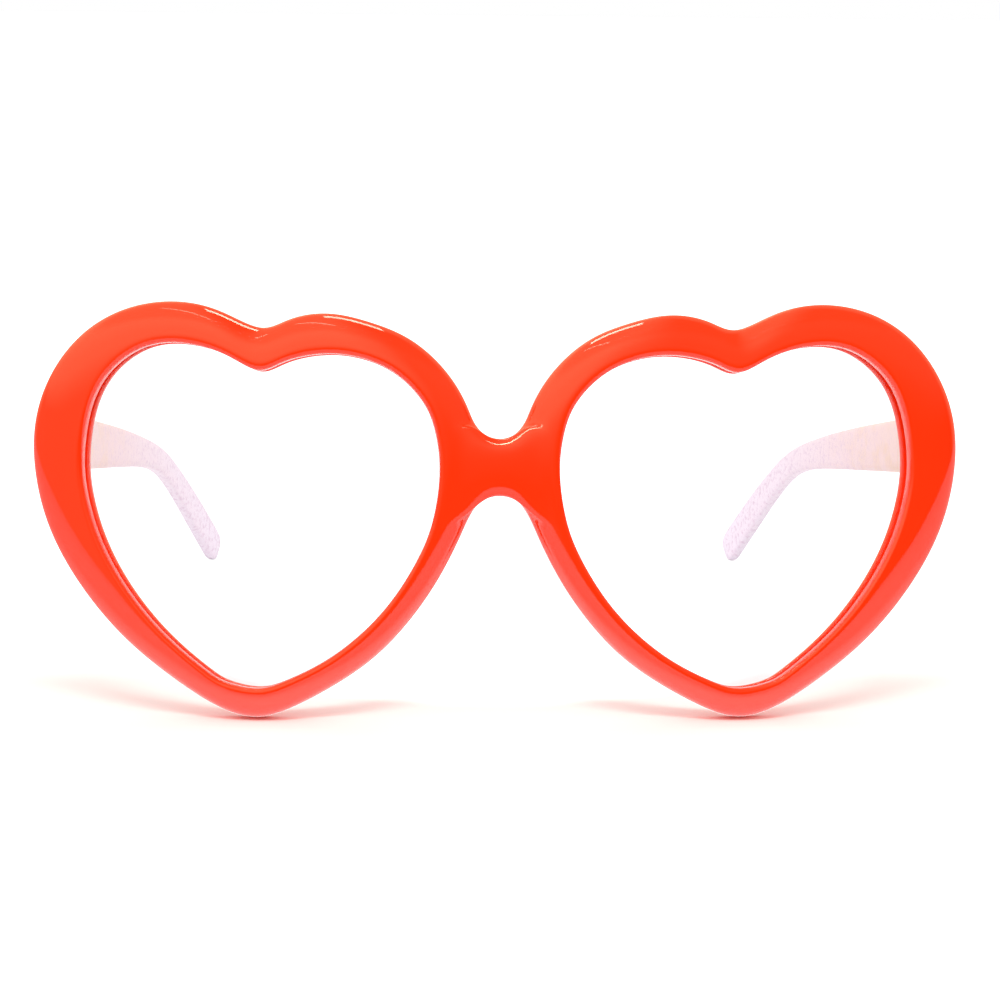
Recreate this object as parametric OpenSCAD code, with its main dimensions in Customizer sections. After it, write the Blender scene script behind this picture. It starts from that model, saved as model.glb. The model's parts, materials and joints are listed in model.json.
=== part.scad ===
// Heart shaped sunglasses: a moulded front with two clear lenses and two folding temples.
// X runs across the face, Y from the front back to the ear tips, Z up.
// The glasses stand as they do on a table, on the tips of the hearts and of the temples,
// with the middle of their footprint at the origin.

/* [Front] */
// Width over both hearts
front_w = 160; // [140:1:180]
// Height of a heart
heart_h = 71.2; // [60:0.2:85]
// Distance between the hearts at the bridge
heart_gap = 6.8; // [5:0.2:9]
// Radius of the front's gentle wrap round the face
wrap_r = 500; // [350:10:1200]

/* [Rims] */
// Rim width at the side of the head
rim_side_w = 9.4; // [8.6:0.1:12]
// Rim width at the nose
rim_nose_w = 6.8; // [5.5:0.1:9]
// Rim width over the lobes
rim_top_w = 7.2; // [5:0.1:10]
// Rim width under the tip of the heart
rim_tip_w = 5.2; // [4.4:0.1:8]
// Fall of the domed face from its crest to the outer edge
dome_drop = 3; // [1.5:0.1:4]
// Fall of the domed face from its crest to the front lip
lip_drop = 1; // [0.6:0.1:1.6]
// Wall between the front lip's edge and the lens groove
front_lip_t = 1.1; // [0.8:0.1:2]
// Wall behind the lens groove
rear_lip_t = 1.6; // [1.2:0.1:3]
// Step from the rear lip out to the front lip
lip_step = 0.9; // [0.5:0.1:1.2]
// Radius of the moulded edges at the back
edge_round = 0.5; // [0.2:0.05:0.8]

/* [Lenses] */
// Lens thickness
lens_t = 1.6; // [1.2:0.1:2.4]
// Depth of the lens edge in the front lip's groove
lens_bite = 0.8; // [0.4:0.1:1]
// Clearance between a lens and its groove
lens_clear = 0.1; // [0.05:0.05:0.2]

/* [Bridge] */
// Height of the bridge at its middle
bridge_h = 9.4; // [7:0.2:12]
// Radius of the saddle over the bridge
saddle_r = 4.8; // [4:0.1:6]
// Radius of the arch under the bridge
arch_r = 5.6; // [4.5:0.1:7]
// Step of the bridge behind the crest of the rims
bridge_step = 0.3; // [0.2:0.05:0.6]

/* [Nose pads] */
// Radius of the moulded pads along their middle
pad_r = 1.9; // [1.6:0.1:2]
// Radius of the moulded pads at their ends
pad_end_r = 1.3; // [1:0.1:1.5]
// Height of the pads behind the rim
pad_proud = 2.4; // [2.2:0.1:3]

/* [End pieces] */
// Height of the moulded end piece that carries the hinge
block_h = 10.8; // [10.4:0.1:14]
// Depth of the end piece behind the rim
block_d = 3.1; // [2.6:0.1:5]
// Step from the side of the front to the end piece and the temple
block_inset = 1.4; // [1:0.1:1.8]
// Corner radius of the end piece
block_corner_r = 1.2; // [0.5:0.1:2]

/* [Temples] */
// Length from the joint to the middle of the ear tip, along the head
temple_l = 119; // [100:1:140]
// Height at the joint
temple_h = 10.6; // [9:0.1:13]
// Thickness at the joint
temple_t = 3.7; // [3.2:0.1:4.6]
// How far the ear tip stands in towards the head
toe_in = 20.4; // [10:0.2:26]
// How far the ear tip hangs below the joint
ear_drop = 20; // [14:0.2:26]
// Gap between the end piece and an open temple
joint_gap = 0.15; // [0.1:0.05:0.3]

/* [Hinges] */
// Outer radius of the hinge barrels
barrel_r = 1.3; // [1.1:0.05:1.5]
// Height of each of the three barrels
barrel_h = 1.5; // [1.2:0.1:1.8]
// Clearance between the barrels, and between barrel and temple
barrel_gap = 0.1; // [0.08:0.01:0.2]
// Thickness of the hinge leaves
leaf_t = 0.8; // [0.6:0.1:1.1]
// Width of the front leaf
front_leaf_w = 3.2; // [2.8:0.1:3.4]
// Length of the temple leaf
temple_leaf_l = 10; // [8:0.5:14]
// Height of the temple leaf
temple_leaf_h = 5; // [4:0.2:6]
// Clearance round the leaves in their pockets
pocket_clear = 0.05; // [0.02:0.01:0.1]

/* [Screws] */
// Radius of the hinge screw's shank
hinge_screw_r = 0.6; // [0.5:0.05:0.7]
// Radius of the hinge screw's head
hinge_head_r = 1.1; // [0.9:0.05:1.2]
// Height of the hinge screw's head
hinge_head_h = 0.5; // [0.4:0.05:0.7]
// Radial clearance of the hinge screw in its barrels
screw_clear = 0.04; // [0.02:0.01:0.08]
// Radius of the leaf screws' shanks
leaf_screw_r = 0.45; // [0.35:0.05:0.55]
// Radius of the leaf screws' heads
leaf_head_r = 0.85; // [0.7:0.05:0.9]
// Height of the leaf screws' heads
leaf_head_h = 0.45; // [0.3:0.05:0.6]
// Length of the front leaf's screws below their heads
front_screw_l = 2.4; // [2:0.1:2.8]
// Length of the temple leaf's screws below their heads
temple_screw_l = 2.2; // [1.8:0.1:2.6]
// Width of the slots in all heads
slot_w = 0.3; // [0.2:0.05:0.4]

/* [Hidden] */
$fn = 48;

// Overrun of every cut
over = 1;
// Sections drawn between two points of an outline
outline_steps = 3;
// Sections drawn between two points of a temple's path
path_steps = 5;
// Facets of the two large cylinders between which the lenses are cut
lens_facets = 720;
// Facets of the spheres that a nose pad is spanned over
pad_facets = 20;

// The outside of a heart, from the cleft outwards and round, as shares of its width and height
RIM_SHARES = [
    [0.490, 0.935], [0.576, 0.975], [0.676, 1.000], [0.785, 0.985], [0.884, 0.927],
    [0.957, 0.831], [0.995, 0.716], [0.996, 0.593], [0.965, 0.459], [0.896, 0.322],
    [0.791, 0.188], [0.674, 0.087], [0.580, 0.024], [0.491, 0.000], [0.401, 0.031],
    [0.302, 0.090], [0.204, 0.173], [0.115, 0.291], [0.056, 0.403], [0.014, 0.514],
    [0.000, 0.618], [0.013, 0.708], [0.060, 0.812], [0.146, 0.903], [0.240, 0.948],
    [0.337, 0.971], [0.426, 0.956]
];
// The opening at the rear lip, point for point beside them, as shares of its own width and height
OPENING_SHARES = [
    [0.510, 0.915], [0.603, 0.964], [0.733, 0.998], [0.844, 0.978], [0.932, 0.906],
    [0.980, 0.806], [0.998, 0.690], [0.993, 0.580], [0.955, 0.439], [0.877, 0.289],
    [0.765, 0.151], [0.654, 0.054], [0.593, 0.017], [0.510, 0.000], [0.434, 0.020],
    [0.321, 0.078], [0.210, 0.167], [0.123, 0.270], [0.056, 0.386], [0.018, 0.493],
    [0.001, 0.626], [0.013, 0.738], [0.046, 0.825], [0.123, 0.908], [0.222, 0.954],
    [0.326, 0.965], [0.435, 0.942]
];
// Place of the rims' crest between the opening and the outside
CREST_SHARE = 0.3;
// Height of the hinges on the hearts
HINGE_SHARE = 0.666;
// Height of the middle of the bridge on the hearts
BRIDGE_SHARE = 0.599;
// Numbers of the outline's points beside which a nose pad begins, swells and ends
PAD_POINTS = [16.4, 17, 17.9, 18.6];
// Place of a nose pad between the opening and the outside
PAD_SHARE = 0.6;
// Numbers of the outline's points between which the front stands on the table
HEEL_POINTS = [12, 14];
// A temple's path and size: shares of its length, of its toe-in, of its drop, of its height and
// of its thickness
TEMPLE_SHARES = [
    [0.00, 0.000, 0.000, 1.00, 1.00], [0.05, 0.000, 0.000, 0.99, 1.00],
    [0.11, 0.000, 0.000, 0.98, 0.98], [0.29, 0.085, 0.000, 0.90, 0.90],
    [0.50, 0.265, 0.010, 0.74, 0.81], [0.65, 0.430, 0.045, 0.57, 0.76],
    [0.75, 0.555, 0.130, 0.51, 0.74], [0.83, 0.675, 0.325, 0.54, 0.73],
    [0.91, 0.815, 0.610, 0.60, 0.73], [1.00, 1.000, 1.000, 0.62, 0.73]
];
// Bend of a temple's section: 1 is an ellipse, less is squarer
SECTION_SHARE = 0.5;
// Points of a temple's section
section_points = 16;

// Sizes that follow
heart_w = (front_w - heart_gap) / 2;
opening_w = heart_w - rim_nose_w - rim_side_w;
opening_h = heart_h - rim_top_w - rim_tip_w;
lens_depth = lip_drop + front_lip_t;
groove_w = lens_t + 2 * lens_clear;
groove_step = lip_step + lens_bite + lens_clear;
rim_t = lens_depth + groove_w + rear_lip_t;

function sag(x) = wrap_r - sqrt(wrap_r * wrap_r - x * x);

// A smooth closed curve through given points: its control points are moved until it meets them
function near(c, i) =
    (c[(i + len(c) - 1) % len(c)] + 4 * c[i] + c[(i + 1) % len(c)]) / 6;
function settled(c, p, passes) = passes == 0 ? c
    : settled([for (i = [0:len(p) - 1]) c[i] + p[i] - near(c, i)], p, passes - 1);
function blend(a, b, c, d, t) =
    (pow(1 - t, 3) * a + (3 * pow(t, 3) - 6 * t * t + 4) * b
    + (3 * t + 3 * t * t - 3 * pow(t, 3) + 1) * c + pow(t, 3) * d) / 6;
function around(c, t) = let (n = len(c), i = floor(t), f = t - i)
    blend(c[(i + n - 1) % n], c[i % n], c[(i + 1) % n], c[(i + 2) % n], f);

// The same through the points of an open path
function near_open(c, i) = i == 0 || i == len(c) - 1 ? c[i] : (c[i - 1] + 4 * c[i] + c[i + 1]) / 6;
function settled_open(c, p, passes) = passes == 0 ? c
    : settled_open([for (i = [0:len(p) - 1]) c[i] + p[i] - near_open(c, i)], p, passes - 1);
function along(c, t) = let (n = len(c), i = min(floor(t), n - 2), f = t - i)
    blend(
        i == 0 ? 2 * c[0] - c[1] : c[i - 1], c[i], c[i + 1],
        i == n - 2 ? 2 * c[n - 1] - c[n - 2] : c[i + 2], f
    );

smooth_passes = 24;
rim_points = [
    for (s = RIM_SHARES) [heart_gap / 2 + s.x * heart_w, s.y * heart_h]
];
opening_points = [
    for (s = OPENING_SHARES)
        [heart_gap / 2 + rim_nose_w + s.x * opening_w, rim_tip_w + s.y * opening_h]
];
rim_curve = settled(rim_points, rim_points, smooth_passes);
opening_curve = settled(opening_points, opening_points, smooth_passes);
sections = len(RIM_SHARES) * outline_steps;

// A point of the rim at place t, counted in points of the outline: a share of its width from the
// opening, moved on by a step, at a depth behind the crest
function rim_at(t, share, step, depth) = let (
        a = around(opening_curve, t),
        b = around(rim_curve, t),
        p = a + (b - a) * (share + step / norm(b - a))
    ) [p.x, depth + sag(p.x), p.y];

// The rim's section, as [share of the width, step, depth]
dome_steps = 5;
lip_steps = 3;
rim_section = [
    [0, lip_step, lens_depth],
    for (k = [0:lip_steps]) let (a = 90 * k / lip_steps)
        [CREST_SHARE * (1 - cos(a)), lip_step * cos(a), lip_drop * (1 - sin(a))],
    for (k = [1:dome_steps]) let (a = 90 * k / dome_steps)
        [CREST_SHARE + (1 - CREST_SHARE) * sin(a), 0, dome_drop * (1 - cos(a))],
    [1, 0, rim_t - edge_round],
    [1, -edge_round, rim_t],
    [0, edge_round, rim_t],
    [0, 0, rim_t - edge_round],
    [0, 0, lens_depth + groove_w],
    [0, groove_step, lens_depth + groove_w],
    [0, groove_step, lens_depth]
];

// Faces of a skin of n rings with m points each, closed on itself or capped at both ends
function skin(n, m, wraps) = [
    for (i = [0:n - (wraps ? 1 : 2)], j = [0:m - 1])
        let (a = i * m, b = ((i + 1) % n) * m, k = (j + 1) % m)
        each [[a + j, a + k, b + k], [a + j, b + k, b + j]]
];
function caps(n, m) = [
    [for (j = [m - 1:-1:0]) j],
    [for (j = [0:m - 1]) (n - 1) * m + j]
];

module rim() {
    points = [
        for (i = [0:sections - 1], s = rim_section)
            rim_at(i / outline_steps, s[0], s[1], s[2])
    ];
    polyhedron(points, skin(sections, len(rim_section), true));
}

// The bridge is a domed bar, waisted between the saddle and the arch
bridge_z = BRIDGE_SHARE * heart_h;
bridge_reach = (heart_gap + rim_nose_w) / 2;
bridge_steps = 16;
// Widest part of a fillet that the bridge follows
FILLET_SHARE = 0.96;
function fillet(x, r) = r - sqrt(r * r - pow(min(abs(x), FILLET_SHARE * r), 2));
function bridge_ring(x) = let (
        top = bridge_z + bridge_h / 2 + fillet(x, saddle_r),
        low = bridge_z - bridge_h / 2 - fillet(x, arch_r),
        mid = (top + low) / 2,
        half = (top - low) / 2,
        step = bridge_step * (1 + abs(x) / bridge_reach),
        back = rim_t - bridge_step
    ) [
        for (k = [-dome_steps:dome_steps]) let (a = 90 * k / dome_steps)
            [x, step + dome_drop * (1 - cos(a)) + sag(x), mid + half * sin(a)],
        [x, back - edge_round + sag(x), mid + half],
        [x, back + sag(x), mid + half - edge_round],
        [x, back + sag(x), mid - half + edge_round],
        [x, back - edge_round + sag(x), mid - half]
    ];

module bridge() {
    rings = [
        for (i = [0:bridge_steps]) bridge_ring(bridge_reach * (2 * i / bridge_steps - 1))
    ];
    m = len(rings[0]);
    polyhedron(
        [for (r = rings) each r],
        concat(skin(len(rings), m, false), caps(len(rings), m))
    );
}

// Nose pads are moulded swellings on the back of the rims
module nose_pad() {
    radii = [pad_end_r, pad_r, pad_r, pad_end_r];
    hull() for (k = [0:len(radii) - 1])
        translate(rim_at(
            PAD_POINTS[k], PAD_SHARE, 0, rim_t - pad_r + pad_proud * radii[k] / pad_r
        )) sphere(radii[k], $fn = pad_facets);
}

// Places of the right-hand hinge
hinge_z = HINGE_SHARE * heart_h;
outer_x = front_w / 2 - block_inset;
block_x = front_w / 2 - rim_side_w + edge_round;
joint_y = rim_t + sag(outer_x) + block_d;
root_y = rim_t + sag(block_x) - rear_lip_t / 2;
face_x = outer_x - temple_t;
axis_x = face_x - barrel_r - 4 * barrel_gap;
axis_y = joint_y + barrel_r + 2 * barrel_gap;
pitch = barrel_h + barrel_gap;
leaf_screw_z = pitch + barrel_h / 2 + hinge_head_h + barrel_gap + leaf_head_r;
front_leaf_h = 2 * (leaf_screw_z + leaf_head_r + 2 * barrel_gap);
temple_leaf_y = axis_y - barrel_r / 2;
// Places of the screws along the temple leaf, as shares of its length
TEMPLE_SCREW_SHARES = [0.42, 0.8];

// A plate with rounded corners, centred, in the XY plane
module rounded(w, h, r, t) {
    linear_extrude(t) union() {
        square([w - 2 * r, h], center = true);
        square([w, h - 2 * r], center = true);
        for (x = [-1, 1], y = [-1, 1])
            translate([x * (w / 2 - r), y * (h / 2 - r)]) circle(r);
    }
}

// Turns a shape drawn upwards so that it points back, along Y
module backwards() {
    rotate([-90, 0, 0]) children();
}

// Places of the screws that hold each leaf
module at_front_screws() {
    for (z = [-leaf_screw_z, leaf_screw_z])
        translate([axis_x, joint_y, hinge_z + z]) backwards() children();
}
module at_temple_screws() {
    for (s = TEMPLE_SCREW_SHARES)
        translate([face_x, temple_leaf_y + s * temple_leaf_l, hinge_z])
            rotate([0, -90, 0]) children();
}

module end_piece() {
    difference() {
        translate([(block_x + outer_x) / 2, root_y, hinge_z]) backwards()
            rounded(outer_x - block_x, block_h, block_corner_r, joint_y - root_y);
        translate([axis_x, joint_y - leaf_t, hinge_z]) backwards()
            rounded(
                front_leaf_w + 2 * pocket_clear, front_leaf_h + 2 * pocket_clear,
                edge_round, leaf_t + over
            );
        at_front_screws() translate([0, 0, -front_screw_l - over / 2])
            cylinder(r = leaf_screw_r + screw_clear, h = front_screw_l + over);
    }
}

module front_half() {
    rim();
    nose_pad();
    end_piece();
}

// The lens fills the groove and follows the wrap of the front
module lens() {
    edge = [
        for (i = [0:sections - 1]) let (
            p = rim_at(i / outline_steps, 0, lip_step + lens_bite, 0)
        ) [p.x, p.z]
    ];
    front = lens_depth + lens_clear;
    intersection() {
        backwards() mirror([0, 1, 0])
            linear_extrude(rim_t + 2 * sag(front_w / 2)) polygon(edge);
        translate([0, wrap_r, 0]) difference() {
            cylinder(r = wrap_r - front, h = 2 * heart_h, $fn = lens_facets);
            translate([0, 0, -over])
                cylinder(
                    r = wrap_r - front - lens_t, h = 2 * (heart_h + over), $fn = lens_facets
                );
        }
    }
}

// The temple's path and its sections
path_scale = [temple_l, -toe_in, -ear_drop, temple_h, temple_t];
path_points = [
    for (s = TEMPLE_SHARES) [for (k = [0:4]) s[k] * path_scale[k]]
];
path_curve = settled_open(path_points, path_points, smooth_passes);
path_spans = len(TEMPLE_SHARES) - 1;
path_rings = path_spans * path_steps;
function station(t) = along(path_curve, t);
function centre(t) = let (s = station(t))
    [face_x + temple_t / 2 + s[1], joint_y + joint_gap + s[0], hinge_z + s[2]];
// Span over which the path's direction is measured
DIRECTION_SHARE = 0.05;
function direction(t) = t < 1 ? [0, 1, 0] : let (
        d = centre(min(t + DIRECTION_SHARE, path_spans)) - centre(t - DIRECTION_SHARE)
    ) d / norm(d);
function bent(v) = sign(v) * pow(abs(v), SECTION_SHARE);
function temple_ring(t, shrink, ahead) = let (
        s = station(t),
        c = centre(t),
        d = direction(t),
        side = [d.y, -d.x, 0] / norm([d.y, -d.x, 0]),
        up = cross(side, d)
    ) [
        for (j = [0:section_points - 1]) let (a = 360 * (j + 1 / 2) / section_points)
            c + d * ahead + shrink * (side * s[4] * bent(cos(a)) + up * s[3] * bent(sin(a))) / 2
    ];
// The tip ends in a short rounded nose
tip_steps = 4;
TIP_ANGLE = 80;
tip_l = TEMPLE_SHARES[path_spans][3] * temple_h / 2;
temple_rings = [
    for (i = [0:path_rings]) temple_ring(i / path_steps, 1, 0),
    for (k = [1:tip_steps]) let (a = TIP_ANGLE * k / tip_steps)
        temple_ring(path_spans, cos(a), tip_l * sin(a))
];

module temple() {
    difference() {
        polyhedron(
            [for (r = temple_rings) each r],
            concat(
                skin(len(temple_rings), section_points, false),
                caps(len(temple_rings), section_points)
            )
        );
        translate([face_x + leaf_t - over, temple_leaf_y + temple_leaf_l / 2, hinge_z])
            rotate([0, 90, 0]) rotate(90)
                rounded(
                    temple_leaf_l + 2 * pocket_clear, temple_leaf_h + 2 * pocket_clear,
                    edge_round, over
                );
        at_temple_screws() translate([0, 0, -temple_screw_l - over / 2])
            cylinder(r = leaf_screw_r + screw_clear, h = temple_screw_l + over);
    }
}

// The barrels of a hinge, at whole steps above and below its middle
module barrels(places) {
    for (k = places)
        translate([axis_x, axis_y, hinge_z + k * pitch - barrel_h / 2])
            cylinder(r = barrel_r, h = barrel_h);
}
module barrel_bore() {
    translate([axis_x, axis_y, hinge_z - 2 * pitch])
        cylinder(r = hinge_screw_r + screw_clear, h = 4 * pitch);
}

module front_leaf() {
    difference() {
        union() {
            translate([axis_x, joint_y - leaf_t, hinge_z]) backwards()
                rounded(front_leaf_w, front_leaf_h, edge_round, leaf_t);
            barrels([-1, 1]);
            for (k = [-1, 1])
                translate([
                    axis_x - barrel_r, joint_y - leaf_t / 2,
                    hinge_z + k * pitch - barrel_h / 2
                ]) cube([2 * barrel_r, axis_y - joint_y + leaf_t / 2, barrel_h]);
        }
        barrel_bore();
        at_front_screws() translate([0, 0, -leaf_t - over])
            cylinder(r = leaf_screw_r + screw_clear, h = leaf_t + 2 * over);
    }
}

module temple_leaf() {
    difference() {
        union() {
            translate([face_x, temple_leaf_y + temple_leaf_l / 2, hinge_z])
                rotate([0, 90, 0]) rotate(90)
                    rounded(temple_leaf_l, temple_leaf_h, edge_round, leaf_t);
            barrels([0]);
            translate([axis_x, axis_y, hinge_z - barrel_h / 2])
                cube([face_x - axis_x + leaf_t / 2, barrel_r, barrel_h]);
        }
        barrel_bore();
        at_temple_screws() translate([0, 0, -leaf_t - over])
            cylinder(r = leaf_screw_r + screw_clear, h = leaf_t + 2 * over);
    }
}

// A slotted screw that points down from its head's underside at the origin
module screw(shank_r, length, head_r, head_h) {
    translate([0, 0, -length]) cylinder(r = shank_r, h = length + head_h / 2);
    difference() {
        cylinder(r = head_r, h = head_h);
        translate([-head_r - over, -slot_w / 2, head_h / 2])
            cube([2 * (head_r + over), slot_w, head_h]);
    }
}

module hinge_screw() {
    stack = pitch + barrel_h / 2;
    translate([axis_x, axis_y, hinge_z + stack])
        screw(hinge_screw_r, 2 * stack, hinge_head_r, hinge_head_h);
}

module front_leaf_screws() {
    at_front_screws() screw(leaf_screw_r, front_screw_l, leaf_head_r, leaf_head_h);
}

module temple_leaf_screws() {
    at_temple_screws() screw(leaf_screw_r, temple_screw_l, leaf_head_r, leaf_head_h);
}

// How the glasses stand: the front leans back until the ear tips touch the table
heel_points = [
    for (i = [HEEL_POINTS[0] * outline_steps:HEEL_POINTS[1] * outline_steps], s = rim_section)
        rim_at(i / outline_steps, s[0], s[1], s[2])
];
ear_points = [
    for (i = [path_rings - path_steps:len(temple_rings) - 1]) each temple_rings[i]
];
lean = max([
    for (h = heel_points) min([for (e = ear_points) atan2(e.z - h.z, e.y - h.y)])
]);
function leaned(p) = [p.x, p.y * cos(lean) + p.z * sin(lean), p.z * cos(lean) - p.y * sin(lean)];
base_z = min([for (h = heel_points) leaned(h).z]);
front_y = min([
    for (i = [0:sections - 1]) leaned(rim_at(i / outline_steps, CREST_SHARE, 0, 0)).y
]);
back_y = max([for (e = ear_points) leaned(e).y]);

module standing() {
    translate([0, -(front_y + back_y) / 2, -base_z]) rotate([-lean, 0, 0]) children();
}
module on_right() {
    standing() children();
}
module on_left() {
    standing() mirror([1, 0, 0]) children();
}

module front_frame() {
    color("#f93a14") standing() {
        front_half();
        mirror([1, 0, 0]) front_half();
        bridge();
    }
}
module lens_left() {
    color("#fbfdff", 0.2) on_left() lens();
}
module lens_right() {
    color("#fbfdff", 0.2) on_right() lens();
}
module temple_left() {
    color("#f8e4ee") on_left() temple();
}
module temple_right() {
    color("#f8e4ee") on_right() temple();
}
module front_hinge_leaf_left() {
    color("silver") on_left() front_leaf();
}
module front_hinge_leaf_right() {
    color("silver") on_right() front_leaf();
}
module temple_hinge_leaf_left() {
    color("silver") on_left() temple_leaf();
}
module temple_hinge_leaf_right() {
    color("silver") on_right() temple_leaf();
}
module hinge_screw_left() {
    color("gainsboro") on_left() hinge_screw();
}
module hinge_screw_right() {
    color("gainsboro") on_right() hinge_screw();
}
module front_leaf_screws_left() {
    color("gainsboro") on_left() front_leaf_screws();
}
module front_leaf_screws_right() {
    color("gainsboro") on_right() front_leaf_screws();
}
module temple_leaf_screws_left() {
    color("gainsboro") on_left() temple_leaf_screws();
}
module temple_leaf_screws_right() {
    color("gainsboro") on_right() temple_leaf_screws();
}

front_frame();
lens_left();
lens_right();
temple_left();
temple_right();
front_hinge_leaf_left();
front_hinge_leaf_right();
temple_hinge_leaf_left();
temple_hinge_leaf_right();
hinge_screw_left();
hinge_screw_right();
front_leaf_screws_left();
front_leaf_screws_right();
temple_leaf_screws_left();
temple_leaf_screws_right();
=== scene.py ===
import json
import math

import bmesh
import bpy
from mathutils import Matrix, Vector


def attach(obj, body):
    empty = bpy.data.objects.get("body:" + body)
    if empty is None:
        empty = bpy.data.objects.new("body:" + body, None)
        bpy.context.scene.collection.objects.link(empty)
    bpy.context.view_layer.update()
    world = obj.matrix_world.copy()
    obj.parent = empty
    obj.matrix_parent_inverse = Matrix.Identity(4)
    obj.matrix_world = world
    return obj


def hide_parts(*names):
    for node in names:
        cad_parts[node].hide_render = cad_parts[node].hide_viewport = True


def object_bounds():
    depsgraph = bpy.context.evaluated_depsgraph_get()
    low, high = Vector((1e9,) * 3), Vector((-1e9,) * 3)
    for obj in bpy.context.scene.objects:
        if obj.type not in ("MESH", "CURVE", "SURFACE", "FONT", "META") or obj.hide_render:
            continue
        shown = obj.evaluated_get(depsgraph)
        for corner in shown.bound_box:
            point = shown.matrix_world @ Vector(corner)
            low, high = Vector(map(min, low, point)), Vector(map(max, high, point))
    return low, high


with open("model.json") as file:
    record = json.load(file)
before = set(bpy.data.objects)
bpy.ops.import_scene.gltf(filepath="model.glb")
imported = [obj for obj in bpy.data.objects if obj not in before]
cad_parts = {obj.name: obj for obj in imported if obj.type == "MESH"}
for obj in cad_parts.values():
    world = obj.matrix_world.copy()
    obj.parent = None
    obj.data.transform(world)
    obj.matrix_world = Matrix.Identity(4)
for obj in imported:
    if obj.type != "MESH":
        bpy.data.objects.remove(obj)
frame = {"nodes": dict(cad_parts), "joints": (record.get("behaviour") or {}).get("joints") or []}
cad_bounds = [list(corner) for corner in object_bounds()]

# The front: two heart shaped rims and a bridge, injection moulded in one piece of red-orange
# plastic. The face is domed and polished, with a rounded lip round each lens, and the lens snaps
# into a groove between that lip and a narrower one at the back. Sizes are in millimetres.
front_w = 160
heart_h = 71.2
heart_gap = 6.8
wrap_r = 500
rim_t = 5.5
rim_side_w = 9.4
rim_nose_w = 6.8
rim_top_w = 7.2
rim_tip_w = 5.2
dome_drop = 3
lip_drop = 1
front_lip_t = 1.1
lip_step = 0.1
lip_r = 0.8
lip_fall = 0.65
edge_round = 0.5
lens_t = 1.6
lens_edge = 1.7
lens_clear = 0.1
lens_depth = lip_drop + front_lip_t
draft_r = 300
groove_back = lens_depth + lens_t + 2 * lens_clear
groove_step = lens_edge + lens_clear

# The outside of a heart, from the cleft outwards and round, as shares of its width and height
RIM_SHARES = [
    (0.490, 0.935), (0.576, 0.975), (0.676, 1.000), (0.785, 0.985), (0.884, 0.927),
    (0.957, 0.831), (0.995, 0.716), (0.996, 0.593), (0.965, 0.459), (0.896, 0.322),
    (0.791, 0.188), (0.674, 0.087), (0.580, 0.024), (0.491, 0.000), (0.401, 0.031),
    (0.302, 0.090), (0.204, 0.173), (0.115, 0.291), (0.056, 0.403), (0.014, 0.514),
    (0.000, 0.618), (0.013, 0.708), (0.060, 0.812), (0.146, 0.903), (0.240, 0.948),
    (0.337, 0.971), (0.426, 0.956),
]
# The opening at the rear lip, point for point beside them, as shares of its own size
OPENING_SHARES = [
    (0.510, 0.915), (0.603, 0.964), (0.733, 0.998), (0.844, 0.978), (0.932, 0.906),
    (0.980, 0.806), (0.998, 0.690), (0.993, 0.580), (0.955, 0.439), (0.877, 0.289),
    (0.765, 0.151), (0.654, 0.054), (0.593, 0.017), (0.510, 0.000), (0.434, 0.020),
    (0.321, 0.078), (0.210, 0.167), (0.123, 0.270), (0.056, 0.386), (0.018, 0.493),
    (0.001, 0.626), (0.013, 0.738), (0.046, 0.825), (0.123, 0.908), (0.222, 0.954),
    (0.326, 0.965), (0.435, 0.942),
]


def settled(points, closed=True, passes=24):
    """Control points of the smooth curve that meets the given points."""
    control = [list(p) for p in points]
    n = len(points)
    for _ in range(passes):
        held = [list(c) for c in control]
        for i in range(n):
            if closed or 0 < i < n - 1:
                for k in range(len(points[i])):
                    near = (held[i - 1][k] + 4 * held[i][k] + held[(i + 1) % n][k]) / 6
                    control[i][k] = held[i][k] + points[i][k] - near
    return control


def blended(a, b, c, d, f):
    """The point at share f of a cubic B-spline's span between its control points b and c."""
    weights = (
        (1 - f) ** 3, 3 * f**3 - 6 * f * f + 4, 3 * f + 3 * f * f - 3 * f**3 + 1, f**3
    )
    return [sum(w * p[k] for w, p in zip(weights, (a, b, c, d))) / 6 for k in range(len(a))]


def around(control, t):
    i, n = int(t), len(control)
    return blended(
        control[(i - 1) % n], control[i % n], control[(i + 1) % n], control[(i + 2) % n], t - i
    )


def sag(x):
    """How far the wrapped front has curved back at x."""
    return wrap_r - math.sqrt(wrap_r**2 - x**2)


heart_w = (front_w - heart_gap) / 2
opening_w = heart_w - rim_nose_w - rim_side_w
opening_h = heart_h - rim_top_w - rim_tip_w
rim_curve = settled([(heart_gap / 2 + x * heart_w, z * heart_h) for x, z in RIM_SHARES])
opening_curve = settled([
    (heart_gap / 2 + rim_nose_w + x * opening_w, rim_tip_w + z * opening_h)
    for x, z in OPENING_SHARES
])


def rim_at(t, share, step, depth):
    """A point of the rim at place t, counted in points of the outline, between opening and outside."""
    a = Vector(around(opening_curve, t))
    b = Vector(around(rim_curve, t))
    p = a + (b - a) * (share + step / (b - a).length)
    narrowing = (depth - dome_drop) / (wrap_r if share else draft_r)
    return Vector((p.x * (1 - narrowing), depth + sag(p.x), p.y))


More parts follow.
